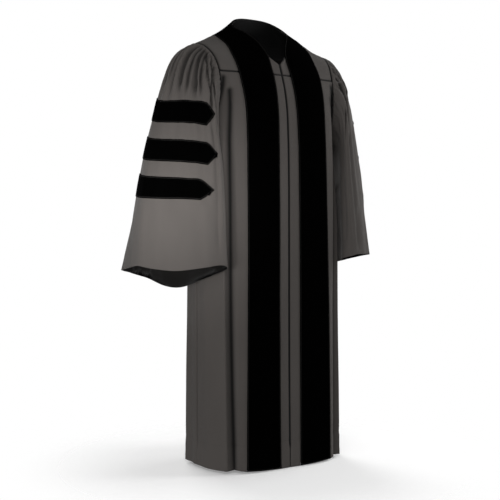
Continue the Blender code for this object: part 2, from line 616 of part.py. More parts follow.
def build_gown():
    cloth = principled("gown_cloth", CLOTH_COLOUR, 0.8)
    velvet = principled("velvet", VELVET_COLOUR, 0.9)
    satin = principled("neck_satin", SATIN_COLOUR, 0.35)
    tape = principled("zip_tape", SATIN_COLOUR, 0.7)

    front = front_grid()
    seam_row = front[-1]
    patches = yoke_patches(seam_row)
    back_left = back_grid(patches["back"][0])

    front_left = Sheet("front_left")
    front_left.grid(front)
    yoke = Sheet("yoke")
    for patch in patches.values():
        yoke.grid(patch)
    yoke.join(yoke.mirrored("yoke"))
    back = Sheet("back")
    back.grid(back_left)
    back.join(back.mirrored("back"))
    sheets = [front_left, front_left.mirrored("front_right"), back, yoke]
    rings = {side: sleeve_rings(side) for side in ("left", "right")}
    left_hand = {side: sleeve_sheet("sleeve_" + side, *rings[side]) for side in rings}
    sheets += [left_hand["left"], left_hand["right"].mirrored("sleeve_right")]

    # Points that lie partway along a neighbour's straight edge take their direction from its ends.
    halfway = [(seam_row[-1 - i], seam_row[-1], seam_row[-1 - SIDE_BANDS], i / SIDE_BANDS)
               for i in range(1, SIDE_BANDS)]
    back_top = back_left[-1]
    halfway += [(back_top[i], back_top[i - 1], back_top[i + 1], 0.5) for i in range(1, BACK_BANDS, 2)]
    halfway += [tuple(point * MIRROR for point in row[:3]) + row[3:] for row in halfway]
    directions = shared_directions(sheets, halfway)

    for sheet in sheets:
        cloth_piece(sheet, directions, cloth)

    velvet_left = velvet_sheet("velvet_left", front, patches)
    for sheet in (velvet_left, velvet_left.mirrored("velvet_right")):
        laid_piece(sheet, directions, LAY_GAP, LAY_GAP + VELVET, velvet)

    for side in ("left", "right"):
        own = directions if side == "left" else {
            (-x, y, z): towards * MIRROR for (x, y, z), towards in directions.items()}
        for number, row in enumerate(BARS["rows"]):
            start = number * (BAR_HEIGHT_STEPS + 1)
            stations = [station + BAR_TURN[side] for station in row[2:-1]]
            bar = bar_sheet(f"bar_{side}_{number + 1}", rings[side][1][start:start + BAR_HEIGHT_STEPS + 1],
                            stations, row[-1], own)
            if side == "right":
                for point in bar.points:
                    directions[key(point * MIRROR)] = own[key(point)] * MIRROR
                bar = bar.mirrored(bar.name)
            laid_piece(bar, directions, BAR_GAP, BAR_GAP + VELVET, velvet)

    behind = CLOTH + LAY_GAP
    laid_piece(lining_sheet(patches), directions, -behind - SATIN, -behind, satin)
    laid_piece(tape_sheet(front, patches, directions), directions, -behind - SATIN, -behind, tape)


for old in list(bpy.data.objects):
    bpy.data.objects.remove(old)
GOWN = bpy.data.collections.new("doctoral_gown")
bpy.context.scene.collection.children.link(GOWN)
build_gown()
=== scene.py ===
"""Looks of a doctoral gown: cloth with gathers, seams and stitching, velvet fronts and bars, satin and zip.

Each cloth wall of the frame gives its outer face. That face is rounded, its finer folds are pressed into
it, its edges are rolled, and it gets its thickness again. Heights are above the hem, and the origin is at
the shoulders.
"""

import math

import bmesh
import bpy
import numpy as np
from mathutils import Matrix, Vector, bvhtree, kdtree, noise


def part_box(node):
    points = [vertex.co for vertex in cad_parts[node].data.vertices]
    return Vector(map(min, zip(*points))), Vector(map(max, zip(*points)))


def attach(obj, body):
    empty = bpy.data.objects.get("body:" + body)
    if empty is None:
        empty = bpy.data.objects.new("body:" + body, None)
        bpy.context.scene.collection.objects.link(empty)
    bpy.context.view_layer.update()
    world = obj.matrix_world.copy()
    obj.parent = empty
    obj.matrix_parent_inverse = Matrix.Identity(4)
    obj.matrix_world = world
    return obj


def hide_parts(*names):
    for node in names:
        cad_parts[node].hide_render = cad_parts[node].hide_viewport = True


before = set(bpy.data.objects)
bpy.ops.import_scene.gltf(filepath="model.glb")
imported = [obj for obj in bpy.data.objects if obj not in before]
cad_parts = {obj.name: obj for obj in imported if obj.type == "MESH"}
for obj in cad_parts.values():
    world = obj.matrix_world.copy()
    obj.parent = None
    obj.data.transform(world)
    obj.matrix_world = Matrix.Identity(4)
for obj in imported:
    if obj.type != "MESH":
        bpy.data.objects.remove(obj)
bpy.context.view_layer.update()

# Sizes in metres.
HEM = -1.300             # height of the hem's level in the frame
CLOTH = 0.0016
VELVET = 0.0018
SATIN = 0.0010
WELD = 0.00001           # two points closer than this are one
THROUGH = 0.0022         # an edge shorter than this runs through a wall from face to face
EDGE_BANDS = (0.0009, 0.0010)           # narrow bands along every edge of a piece, for its rolled edge
EDGE_STEP = 0.001        # spacing of the points that stand for an edge or a fold
EDGE_REACH = 0.05        # a distance to an edge or a fold is told up to here
EDGE_LINE = 0.0036       # how far inside a velvet edge its stitching runs
FREE_HEM = 0.06          # a body edge below this height is the hem
FREE_CUFF = 0.75         # a sleeve edge below this height is the cuff
HEM_STITCH = 0.075       # the hem's stitching above the hem
SINK = 0.0009            # how far the cloth is pressed down under the velvet
LINING_INSIDE = 0.0016   # how far the neck lining is moved in, clear of the cloth pressed down over it
TRIMMED = 0.0016         # cloth under the velvet is cut away this close to its own edge
COVERED = 0.97           # cloth with at least this share of velvet over it lies wholly under it
VELVET_REACH = 0.01      # velvet further away than this isn't over the cloth
STITCH = (0.0024, 0.00060, 0.00050)     # length, width and height of one stitch
STITCH_PITCH = 0.0034
STITCH_LIFT = 0.0001     # how far a velvet edge's stitches stand up
SHORTEST_ROW = 3         # a row with fewer stitches than this is left out
TOOTH = (0.0017, 0.0010, 0.0009)        # width, height and depth of one zip tooth
TOOTH_PITCH = 0.0008     # from a tooth of one side to the next tooth of the other
TOOTH_SIDEWAYS = 0.0005  # how far the two sides' teeth lie from the middle
TEETH_BEHIND = 0.0014    # how far the teeth lie behind the cloth's face
TEETH_ENDS = (0.004, 0.002)             # how far the teeth end short of the hem and of the open neck
ZIP_EDGE = 0.0026        # cloth this close to the middle is the zip edge
GRAINS_AT_ONCE = 30      # stitches or teeth made together, which is quicker than all of them in one mesh
NEAREST = 3              # places of a sleeve that a bar takes its folds from
NEAREST_EASE = 0.0002    # evens out how much each of those places counts

# Folds and corners of the frame.
JOINED = (math.radians(35), math.radians(150))      # bend and slant up to which triangles become one face
SHARP_FOLD = math.radians(38)           # a fold sharper than this is pressed, and stays tight
TIGHTNESS = 0.55
CORNER = math.radians(35)               # an edge that turns more sharply than this has a square corner
UNDERARM_COS = -0.9999   # points of a sleeve with a cosine below this lie on its underarm line
FIT_ROUNDS = 4           # times that a rounded surface is brought back to the frame's points
VALLEY = math.radians(13)               # a front's inner fold this sharp is pressed, and gets painted shade
VALLEY_WIDTH = 0.0095
VALLEY_SHADE = 1.32      # how dark its painted shade is, where 1 is the deepest gather of a sleeve

# Ridges and grooves along the edges: height, distance from the edge, and half width.
SEAM_RIDGE = (0.0009, 0.0048, 0.0021)
SEAM_GROOVE = (-0.0026, 0.0, 0.0017)
FREE_ROUND = (-0.0005, 0.0, 0.0016)
VELVET_RIDGE = (0.0007, 0.0024, 0.0018)
VELVET_ROUND = (-0.0010, 0.0, 0.0010)
EDGE_DITCH = (-0.0007, EDGE_LINE, 0.0014)
HEM_DITCH = (-0.0009, HEM_STITCH, 0.0028)
# Cloth that is turned in or lies over other cloth: height, where it begins to end, and over what length.
FREE_TURNED = (0.0005, 0.018, 0.004)
HEM_TURNED = (0.0006, HEM_STITCH - 0.004, 0.004)
VELVET_OVER = (1.0, 0.0006, 0.0022)
# The painted shade of the seams: half width, and how squarely it ends.
SEAM_DARK = 0.0031
ZIP_DARK = 0.0019        # the seams in the middle of the front are finer
ZIP_REACH = 0.02         # and lie this close to the middle
DARK_SQUARE = 4
# The side seams are pressed flat: past this x and below this height, only a share of the painted shade.
SIDE_X, SIDE_HEIGHT, SIDE_DARK = 0.19, 0.95, 0.25

# The unevenness of worn cloth: its height, its length each way, and its own start.
HANDLING = (
    (0.0014, (0.11, 0.11, 0.50), 3.1),
    (0.0006, (0.045, 0.045, 0.16), 11.7),
    (0.00025, (0.02, 0.02, 0.045), 5.3),
)


def points_of(mesh):
    found = np.empty(len(mesh.vertices) * 3, np.float32)
    mesh.vertices.foreach_get("co", found)
    return found.reshape(-1, 3).astype(float)


def set_points(mesh, points):
    mesh.vertices.foreach_set("co", points.astype(np.float32).ravel())
    mesh.update()


def normals_of(mesh):
    found = np.empty(len(mesh.vertices) * 3, np.float32)
    mesh.vertex_normals.foreach_get("vector", found)
    return found.reshape(-1, 3).astype(float)


def numbers_of(mesh, name):
    found = np.empty(len(mesh.vertices), np.float32)
    mesh.attributes[name].data.foreach_get("value", found)
    return found.astype(float)


def keep_numbers(mesh, name, values):
    """Stores one number a point, for the materials."""
    attribute = mesh.attributes.get(name) or mesh.attributes.new(name, "FLOAT", "POINT")
    attribute.data.foreach_set("value", np.asarray(values, np.float32))


def smooth(value):
    """A soft step from 0 to 1."""
    value = np.clip(value, 0, 1)
    return value * value * (3 - 2 * value)


def ridge(value, height, centre, width):
    """A ridge across a value, or a groove where its height is below 0."""
    return height * np.exp(-((value - centre) / width) ** 2)


def layer(value, height, ends_at, length):
    """A height that falls softly to 0 from a value on."""
    return height * (1 - smooth((value - ends_at) / length))


def wave(angle, depth, count, begins):
    return depth * np.sin(angle * count + begins)


def ready_tree(places):
    tree = kdtree.KDTree(len(places))
    for i, place in enumerate(places):
        tree.insert(place, i)
    tree.balance()
    return tree


def flood(faces):
    """Groups of faces joined by their edges."""
    for face in faces:
        face.tag = False
    groups = []
    for face in faces:
        if face.tag:
            continue
        face.tag = True
        group = [face]
        for member in group:
            for edge in member.edges:
                for other in edge.link_faces:
                    if not other.tag:
                        other.tag = True
                        group.append(other)
        groups.append(group)
    return groups


def outer_face(node, middle):
    """The outer face of a frame node's wall: the one that looks away from a point in the middle of it."""
    shell = bmesh.new()
    shell.from_mesh(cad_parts[node].data)
    bmesh.ops.remove_doubles(shell, verts=shell.verts, dist=WELD)
    rim = {face for edge in shell.edges if edge.calc_length() < THROUGH for face in edge.link_faces}
    bmesh.ops.delete(shell, geom=list(rim), context="FACES")
    groups = flood(list(shell.faces))
    looks = [sum(face.calc_area() * face.normal.dot(face.calc_center_median() - middle) for face in group)
             for group in groups]
    outer = groups[looks.index(max(looks))]
    kept = set(outer)
    bmesh.ops.delete(shell, geom=[face for face in shell.faces if face not in kept], context="FACES")
    return shell


def boundary_loops(shell):
    """The open edges of a shell, as closed rings of points."""
    ahead = {}
    for edge in shell.edges:
        if edge.is_boundary:
            for vert in edge.verts:
                ahead.setdefault(vert, []).append(edge.other_vert(vert))
    loops = []
    seen = set()
    for start in sorted(ahead, key=lambda vert: vert.index):
        if start in seen:
            continue
        loop = [start]
        seen.add(start)
        while True:
            following = [vert for vert in ahead[loop[-1]] if vert not in seen]
            if not following:
                break
            loop.append(following[0])
            seen.add(following[0])
        loops.append(loop)
    return loops


def lay_stations(shell):
    """Gives each point of a sleeve its share of a turn round the arm, and its length down from the armhole.

    The rings are walked from the armhole to the cuff, and each is turned to lie best under the one above.
    """
    turn_cos = shell.verts.layers.float.new("turn_cos")
    turn_sin = shell.verts.layers.float.new("turn_sin")
    down = shell.verts.layers.float.new("down")
    shell.verts.index_update()
    armhole = max(boundary_loops(shell), key=lambda loop: sum(vert.co.z for vert in loop) / len(loop))
    top = max(range(len(armhole)), key=lambda i: armhole[i].co.z)
    ring = armhole[top:] + armhole[:top]
    if ring[len(ring) // 4].co.y > ring[-(len(ring) // 4)].co.y:
        ring = [ring[0]] + ring[:0:-1]
    depth = [0.0] * len(ring)
    seen = set(ring)
    while True:
        for i, vert in enumerate(ring):
            angle = 2 * math.pi * i / len(ring)
            vert[turn_cos], vert[turn_sin], vert[down] = math.cos(angle), math.sin(angle), depth[i]
        beyond = {other for vert in ring for edge in vert.link_edges for other in edge.verts} - seen
        if not beyond:
            return
        start = min(beyond, key=lambda vert: vert.index)
        following = [start]
        while len(following) < len(beyond):
            near = [edge.other_vert(following[-1]) for edge in following[-1].link_edges]
            step = [vert for vert in near if vert in beyond and vert not in following]
            if not step:
                break
            following.append(min(step, key=lambda vert: vert.index))
        count = len(following)
        pairs = [(round(i * count / len(ring)), i) for i in range(len(ring))]
        best = None
        for order in (following, following[::-1]):
            for shift in range(count):
                apart = sum((order[(j + shift) % count].co - ring[i].co).length for j, i in pairs)
                if best is None or apart < best[0]:
                    best = (apart, [order[(j + shift) % count] for j in range(count)])
        lower = best[1]
        depth = [depth[round(j * len(ring) / count) % len(ring)]
                 + (lower[j].co - ring[round(j * len(ring) / count) % len(ring)].co).length
                 for j in range(count)]
        ring = lower
        seen |= set(ring)


def as_quads(shell):
    bend, slant = JOINED
    bmesh.ops.join_triangles(shell, faces=shell.faces[:], angle_face_threshold=bend,
                             angle_shape_threshold=slant)


def mark_corners(shell):
    """Keeps the corners of a piece square, and its pressed folds tight."""
    corner = shell.verts.layers.float.new("crease_vert")
    fold = shell.edges.layers.float.new("crease_edge")
    for edge in shell.edges:
        if not edge.is_boundary and len(edge.link_faces) == 2 and edge.calc_face_angle() > SHARP_FOLD:
            edge[fold] = TIGHTNESS
    for vert in shell.verts:
        edges = [edge for edge in vert.link_edges if edge.is_boundary]
        if len(edges) == 2:
            one, two = (edge.other_vert(vert).co - vert.co for edge in edges)
            if one.length > 0 and two.length > 0 and math.pi - one.angle(two) > CORNER:
                vert[corner] = 1.0


def evaluated_mesh(piece):
    return bpy.data.meshes.new_from_object(piece.evaluated_get(bpy.context.evaluated_depsgraph_get()))


def flattened(piece):
    """Lays the piece out flat as its cut, in metres, its grain up the pattern. Returns the cut's size."""
    bpy.context.view_layer.objects.active = piece
    piece.select_set(True)
    bpy.ops.object.mode_set(mode="EDIT")
    bpy.ops.mesh.select_all(action="SELECT")
    bpy.ops.uv.unwrap(method="ANGLE_BASED", margin=0)
    bpy.ops.object.mode_set(mode="OBJECT")
    piece.select_set(False)
    mesh = piece.data
    layer = mesh.uv_layers.active.uv
    flat = np.empty(len(layer) * 2, np.float32)
    layer.foreach_get("vector", flat)
    flat = flat.reshape(-1, 2).astype(float)
    corners = np.empty(len(mesh.loops), np.int32)
    mesh.loops.foreach_get("vertex_index", corners)
    points = points_of(mesh)[corners]
    starts = np.array([polygon.loop_start for polygon in mesh.polygons])
    one, two = flat[starts + 1] - flat[starts], flat[starts + 2] - flat[starts]
    flat_area = np.abs(one[:, 0] * two[:, 1] - one[:, 1] * two[:, 0]).sum()
    real = np.cross(points[starts + 1] - points[starts], points[starts + 2] - points[starts])
    flat *= math.sqrt(np.linalg.norm(real, axis=1).sum() / flat_area)
    centred = flat - flat.mean(axis=0)
    slope = np.linalg.lstsq(centred, points[:, 2] - points[:, 2].mean(), rcond=None)[0]
    turn = math.atan2(slope[0], slope[1])
    flat = centred @ np.array([[math.cos(turn), math.sin(turn)], [-math.sin(turn), math.cos(turn)]])
    layer.foreach_set("vector", flat.astype(np.float32).ravel())
    return tuple(float(side) for side in flat.max(axis=0) - flat.min(axis=0))


def rounded(name, shell, levels):
    """A fine smooth surface through the points of a shell, laid out flat as well."""
    mark_corners(shell)
    cage = bpy.data.meshes.new(name)
    shell.to_mesh(cage)
    shell.free()
    piece = bpy.data.objects.new(name, cage)
    bpy.context.scene.collection.objects.link(piece)
    size = flattened(piece)
    modifier = piece.modifiers.new("rounding", "SUBSURF")
    modifier.levels = modifier.render_levels = 1
    wanted = points_of(cage)
    for _ in range(FIT_ROUNDS):
        found = evaluated_mesh(piece)
        set_points(cage, points_of(cage) + wanted - points_of(found)[:len(wanted)])
        bpy.data.meshes.remove(found)
    modifier.levels = modifier.render_levels = levels
    fine = evaluated_mesh(piece)
    piece.modifiers.clear()
    piece.data = fine
    fine.name = name
    shell = bmesh.new()
    shell.from_mesh(fine)
    for band in reversed(EDGE_BANDS):
        bmesh.ops.inset_region(shell, faces=shell.faces[:], thickness=band, use_boundary=True,
                               use_even_offset=True, use_interpolate=True)
    shell.to_mesh(fine)
    shell.free()
    bpy.data.meshes.remove(cage)
    piece["cut"] = size
    return piece


def edge_points(mesh):
    """Close points along a mesh's open edges."""
    uses = np.zeros(len(mesh.edges), int)
    of_loops = np.empty(len(mesh.loops), np.int32)
    mesh.loops.foreach_get("edge_index", of_loops)
    np.add.at(uses, of_loops, 1)
    ends = np.empty(len(mesh.edges) * 2, np.int32)
    mesh.edges.foreach_get("vertices", ends)
    ends = ends.reshape(-1, 2)[uses == 1]
    points = points_of(mesh)
    found = []
    for a, b in points[ends]:
        steps = max(1, int(np.linalg.norm(b - a) / EDGE_STEP))
        found += [a + (b - a) * i / steps for i in range(steps)]
    return found


def far_from(places, points):
    """Each point's distance to the nearest of some places."""
    if not places:
        return np.full(len(points), EDGE_REACH)
    tree = ready_tree(places)
    return np.array([min(tree.find(point)[2], EDGE_REACH) for point in points])


def from_edge(mesh):
    """Each point's distance to the nearest open edge of its piece."""
    return far_from(edge_points(mesh), points_of(mesh))


def wander(points, widths, seed):
    """A soft unevenness from -1 to 1, the same for every piece at the same place."""
    stretched = points / np.asarray(widths) + seed
    return np.array([noise.noise(point) for point in stretched])


def handled(points):
    """How far cloth that was worn and hung stands off its plain form."""
    return sum(height * wander(points, lengths, begins) for height, lengths, begins in HANDLING)


# The sleeves' folds: share of a turn and length down where each begins, passes and ends, then its
# depth and half width. The front is at a quarter turn, and the hidden back has similar ones.
SLEEVE_FOLDS = {
    "columns": "turn_from turn_by turn_to down_from down_by down_to depth width",
    "rows": [
        (0.000, 0.004, 0.008, 0.012, 0.080, 0.175, 0.0036, 0.0062),
        (0.030, 0.028, 0.026, 0.010, 0.095, 0.215, 0.0050, 0.0062),
        (0.064, 0.067, 0.066, 0.010, 0.085, 0.195, 0.0056, 0.0060),
        (0.088, 0.099, 0.101, 0.010, 0.075, 0.190, 0.0062, 0.0058),
        (0.108, 0.124, 0.132, 0.010, 0.080, 0.180, 0.0066, 0.0064),
        (0.126, 0.148, 0.162, 0.010, 0.075, 0.160, 0.0060, 0.0054),
        (0.122, 0.168, 0.222, 0.012, 0.054, 0.125, 0.0082, 0.0052),
        (0.148, 0.206, 0.290, 0.014, 0.044, 0.150, 0.0085, 0.0056),
        (0.190, 0.202, 0.226, 0.016, 0.060, 0.175, 0.0056, 0.0050),
        (-0.030, -0.034, -0.040, 0.012, 0.080, 0.190, 0.0052, 0.0062),
        (-0.062, -0.070, -0.078, 0.012, 0.070, 0.160, 0.0046, 0.0060),
        (-0.092, -0.104, -0.112, 0.012, 0.080, 0.190, 0.0060, 0.0062),
        (-0.120, -0.136, -0.148, 0.012, 0.070, 0.170, 0.0056, 0.0058),
        (-0.146, -0.172, -0.204, 0.012, 0.060, 0.150, 0.0074, 0.0056),
        (-0.178, -0.206, -0.236, 0.014, 0.055, 0.165, 0.0066, 0.0056),
        (0.128, 0.134, 0.136, 0.110, 0.150, 0.230, 0.0050, 0.0135),
        (0.046, 0.050, 0.052, 0.230, 0.320, 0.420, 0.0020, 0.0110),
        (0.084, 0.086, 0.088, 0.215, 0.300, 0.400, 0.0026, 0.0100),
        (0.124, 0.130, 0.134, 0.240, 0.330, 0.450, 0.0036, 0.0120),
        (0.170, 0.176, 0.180, 0.200, 0.330, 0.470, 0.0040, 0.0150),
        (0.226, 0.228, 0.232, 0.180, 0.360, 0.560, 0.0044, 0.0100),
        (0.006, 0.000, -0.006, 0.230, 0.330, 0.440, 0.0020, 0.0120),
        (0.072, 0.074, 0.062, 0.480, 0.580, 0.700, 0.0034, 0.0220),
        (0.150, 0.162, 0.176, 0.470, 0.560, 0.660, 0.0026, 0.0200),
        (0.106, 0.100, 0.112, 0.500, 0.590, 0.660, 0.0016, 0.0140),
        (0.204, 0.210, 0.206, 0.430, 0.500, 0.560, 0.0026, 0.0140),
        (0.020, 0.030, 0.034, 0.520, 0.600, 0.690, 0.0020, 0.0160),
        (-0.120, -0.126, -0.130, 0.240, 0.360, 0.520, 0.0034, 0.0160),
        (-0.190, -0.196, -0.200, 0.260, 0.400, 0.600, 0.0040, 0.0180),
        (-0.060, -0.064, -0.060, 0.320, 0.430, 0.560, 0.0024, 0.0150),
        (-0.256, -0.260, -0.264, 0.200, 0.380, 0.600, 0.0040, 0.0150),
        (0.420, 0.410, 0.400, 0.160, 0.300, 0.460, 0.0032, 0.0180),
        (-0.380, -0.390, -0.400, 0.160, 0.300, 0.460, 0.0032, 0.0180),
        (0.330, 0.336, 0.340, 0.060, 0.200, 0.420, 0.0040, 0.0120),
        (-0.320, -0.330, -0.336, 0.060, 0.200, 0.420, 0.0040, 0.0120),
    ],
}
SLEEVE_REACH = 0.12      # how far the folds of a sleeve lie from the middle of the arm
FOLD_GROWS = (0.006, 0.016)             # how far above its beginning a fold starts, and over what length
FOLD_ENDS = 0.055        # length over which a fold fades
FOLD_GAIN = 1.5
BESIDE_FOLD = (0.20, 2.0)               # ridges beside a fold: share of its depth, and place in half widths
FOLD_SHADE = 0.0070      # depth at which a fold's painted shade is at its darkest
NARROW = 0.0070          # only folds up to this half width get painted shade, darker than the cloth round them
SHADE_NARROWER = 1.5     # how much more closely than the fold its painted shade keeps to the bottom
PUCKERS = 76             # small puckers round the armhole seam
PUCKER_DEPTH = 0.0024
PUCKER_LENGTH = 0.021
PUCKER_GROWS = (0.001, 0.004)           # how far below the seam a pucker starts, and over what length
# Waves round an opening: depth, how many, and where they begin.
PUCKER_DRIFT = (1.4, 9.0, 0.7)
PUCKER_UNEVEN = (0.25, 13.0, 0.4)
LIP_WAVES = ((0.0026, 3.0, 0.8), (0.0010, 7.0, 2.1))
LIP_LENGTH = 0.040


def sleeve_folds(turn, down):
    """The gathers, puckers and creases of a sleeve, as a height above its plain form.

    The depth of the narrow ones comes second: it sets their painted shade.
    """
    angle = 2 * math.pi * turn
    crown = np.sqrt((1 + np.cos(angle)) / 2)
    raised, narrow = np.zeros_like(turn), np.zeros_like(turn)
    above, length = FOLD_GROWS
    share, aside = BESIDE_FOLD
    for row in SLEEVE_FOLDS["rows"]:
        turn_from, turn_by, turn_to, down_from, down_by, down_to, depth, width = row
        line = np.interp(down, (down_from, down_by, down_to), (turn_from, turn_by, turn_to))
        away = ((turn - line + 0.5) % 1 - 0.5) * 2 * math.pi * SLEEVE_REACH
        strong = (smooth((down - down_from + above) / length)
                  * layer(down, 1.0, down_to - FOLD_ENDS, FOLD_ENDS))
        valley = ridge(away, 1.0, 0.0, width)
        beside = ridge(np.abs(away), share, aside * width, width)
        raised += FOLD_GAIN * depth * (beside - valley) * strong
        if width < NARROW:
            narrow += FOLD_GAIN * depth * valley ** SHADE_NARROWER * strong
    pitch = angle * PUCKERS + wave(angle, *PUCKER_DRIFT)
    uneven = 1 - PUCKER_UNEVEN[0] + wave(angle, *PUCKER_UNEVEN)
    after, length = PUCKER_GROWS
    strong = smooth((down - after) / length) * ridge(down, 1.0, 0.0, PUCKER_LENGTH)
    raised += PUCKER_DEPTH * uneven * np.cos(pitch) * strong * crown
    return raised, narrow


def cuff_lip(turn, distance):
    """The soft waves that the open end of a sleeve rolls into."""
    angle = 2 * math.pi * turn
    return sum(wave(angle, *row) for row in LIP_WAVES) * ridge(distance, 1.0, 0.0, LIP_LENGTH)


def rolled_edge(distance, free):
    """The seam's groove and ridge along an edge, or the soft round of a free edge."""
    seam = ridge(distance, *SEAM_RIDGE) + ridge(distance, *SEAM_GROOVE)
    turned = layer(distance, *FREE_TURNED) + ridge(distance, *FREE_ROUND)
    return np.where(free, turned, seam)


def seam_shade(points, distance, free):
    """Painted shade along the seams: how deep in a seam each point lies. A free edge has none."""
    width = np.where(np.abs(points[:, 0]) < ZIP_REACH, ZIP_DARK, SEAM_DARK)
    deep = np.exp(-(distance / width) ** DARK_SQUARE)
    at_side = (np.abs(points[:, 0]) > SIDE_X) & (points[:, 2] < HEM + SIDE_HEIGHT)
    return deep * np.where(free, 0.0, np.where(at_side, SIDE_DARK, 1.0))


def solid(piece, thickness):
    modifier = piece.modifiers.new("thickness", "SOLIDIFY")
    modifier.thickness = thickness
    modifier.offset = -1
    modifier.material_offset = 1
    piece.data.shade_smooth()


def finished(piece, material, slot, *nodes, shaded_wrong_side=None):
    piece.data.materials.clear()
    piece.data.materials.append(material)
    # the inner faces get the second material; for cloth that is the darker wrong side, mostly painted shade
    piece.data.materials.append(shaded_wrong_side or material)
    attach(piece, "root")
    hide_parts(*nodes)


def under_velvet(points, nodes):
    """1 where the cloth has velvet right over it, falling to 0 just outside the velvet's edge."""
    covered = np.zeros(len(points))
    for node in nodes:
        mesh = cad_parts[node].data
        corners = [vert.co for vert in mesh.vertices]
        tree = bvhtree.BVHTree.FromPolygons(corners, [tuple(face.vertices) for face in mesh.polygons])
        far = np.array([tree.find_nearest(Vector(point), VELVET_REACH)[3] or VELVET_REACH
                        for point in points])
        covered = np.maximum(covered, layer(far, *VELVET_OVER))
    return covered


def trimmed(mesh, covered, outermost):
    """Takes away the faces along a piece's edge that lie wholly under the velvet."""
    shell = bmesh.new()
    shell.from_mesh(mesh)
    gone = [face for face in shell.faces if all(covered[vert.index] for vert in face.verts)
            and any(outermost[vert.index] for vert in face.verts)]
    bmesh.ops.delete(shell, geom=gone, context="FACES")
    shell.to_mesh(mesh)
    shell.free()


def pressed_valleys(shell):
    """Close points along the inner folds of a front's pleats, where painted shade goes."""
    shell.normal_update()
    found = []
    for edge in shell.edges:
        if len(edge.link_faces) == 2 and not edge.is_convex and edge.calc_face_angle() > VALLEY:
            start, end = (vert.co for vert in edge.verts)
            steps = max(1, int(edge.calc_length() / EDGE_STEP))
            found += [start.lerp(end, i / steps) for i in range(steps)]
    return found


def body_piece(node, levels, middle):
    """A panel of the gown's body, with its unevenness, its hem, its pleats and its rolled seams."""
    shell = outer_face(node, middle)
    as_quads(shell)
    valleys = pressed_valleys(shell) if node.startswith("front") else []
    piece = rounded(node + "_cloth", shell, levels)
    mesh = piece.data
    points, away = points_of(mesh), normals_of(mesh)
    distance = from_edge(mesh)
    height = points[:, 2] - HEM
    free = height < FREE_HEM
    hem = layer(height, *HEM_TURNED) + ridge(height, *HEM_DITCH)
    raised = handled(points) + rolled_edge(distance, free) + hem
    if node != "back":
        covered = under_velvet(points, ("velvet_left", "velvet_right"))
        raised -= SINK * covered
    set_points(mesh, points + away * raised[:, None])
    keep_numbers(mesh, "from_edge", distance)
    # painted shade along the seams
    keep_numbers(mesh, "painted_seam_shade", seam_shade(points, distance, free))
    # painted shade along the inner folds of the front's pleats
    keep_numbers(mesh, "painted_fold_shade", ridge(far_from(valleys, points), VALLEY_SHADE, 0.0, VALLEY_WIDTH))
    if node != "back":
        trimmed(mesh, covered > COVERED, distance < TRIMMED)
    solid(piece, CLOTH)
    return piece


FOLDED = {}              # each sleeve's places and folds, for its bars


def sleeve_piece(side):
    """A sleeve, with its folds, puckers and rolled lip. Keeps its places and folds for the bars."""
    node = "sleeve_" + side
    low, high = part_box(node)
    shell = outer_face(node, (low + high) / 2)
    lay_stations(shell)
    as_quads(shell)
    turn_cos = shell.verts.layers.float["turn_cos"]
    for edge in shell.edges:
        if all(vert[turn_cos] < UNDERARM_COS for vert in edge.verts):
            edge.seam = True
    piece = rounded(node + "_cloth", shell, 2)
    mesh = piece.data
    points, away = points_of(mesh), normals_of(mesh)
    distance = from_edge(mesh)
    turn = np.arctan2(numbers_of(mesh, "turn_sin"), numbers_of(mesh, "turn_cos")) / (2 * math.pi)
    down = numbers_of(mesh, "down")
    free = points[:, 2] - HEM < FREE_CUFF
    lip = np.where(free, cuff_lip(turn, distance), 0.0)
    folds, narrow = sleeve_folds(turn, down)
    raised = handled(points) + rolled_edge(distance, free) + folds + lip
    FOLDED[side] = (ready_tree(points), folds)
    set_points(mesh, points + away * raised[:, None])
    keep_numbers(mesh, "from_edge", distance)
    # painted shade along the sleeve's seams
    keep_numbers(mesh, "painted_seam_shade", seam_shade(points * (0, 1, 1), distance, free))
    # painted shade in the bottoms of the narrow gathers
    keep_numbers(mesh, "painted_fold_shade", np.clip(narrow / FOLD_SHADE, 0, 1))
    solid(piece, CLOTH)
    return piece


def near_sleeve(points, side):
    """The sleeve's own folds at places that lie on it."""
    tree, folds = FOLDED[side]
    near = [tree.find_n(Vector(point), NEAREST) for point in points]
    places = np.array([[number for _, number, _ in found] for found in near])
    weight = 1 / (np.array([[far for _, _, far in found] for found in near]) + NEAREST_EASE)
    return (folds[places] * weight).sum(axis=1) / weight.sum(axis=1)


def velvet_piece(node, middle, levels, side=None):
    """A velvet band, or a bar that follows the folds of the sleeve on that side."""
    shell = outer_face(node, middle)
    as_quads(shell)
    piece = rounded(node + "_pile", shell, levels)
    mesh = piece.data
    points, away = points_of(mesh), normals_of(mesh)
    distance = from_edge(mesh)
    roll = ridge(distance, *VELVET_RIDGE) + ridge(distance, *VELVET_ROUND)
    raised = handled(points) + roll + ridge(distance, *EDGE_DITCH)
    if side:
        raised += near_sleeve(points, side)
    set_points(mesh, points + away * raised[:, None])
    keep_numbers(mesh, "from_edge", distance)
    solid(piece, VELVET)
    return piece


def chains(pairs):
    """Rows of points that follow one another, from the edges between them."""
    ahead = {}
    for a, b in pairs:
        ahead.setdefault(a, []).append(b)
        ahead.setdefault(b, []).append(a)
    rows, seen = [], set()
    for start in sorted(ahead, key=lambda n: (len(ahead[n]) != 1, n)):
        if start in seen:
            continue
        row = [start]
        seen.add(start)
        while True:
            following = [n for n in ahead[row[-1]] if n not in seen]
            if not following:
                break
            row.append(following[0])
            seen.add(following[0])
        if len(ahead[row[-1]]) == 2 and row[0] in ahead[row[-1]]:
            row.append(row[0])
        rows.append(row)
    return rows


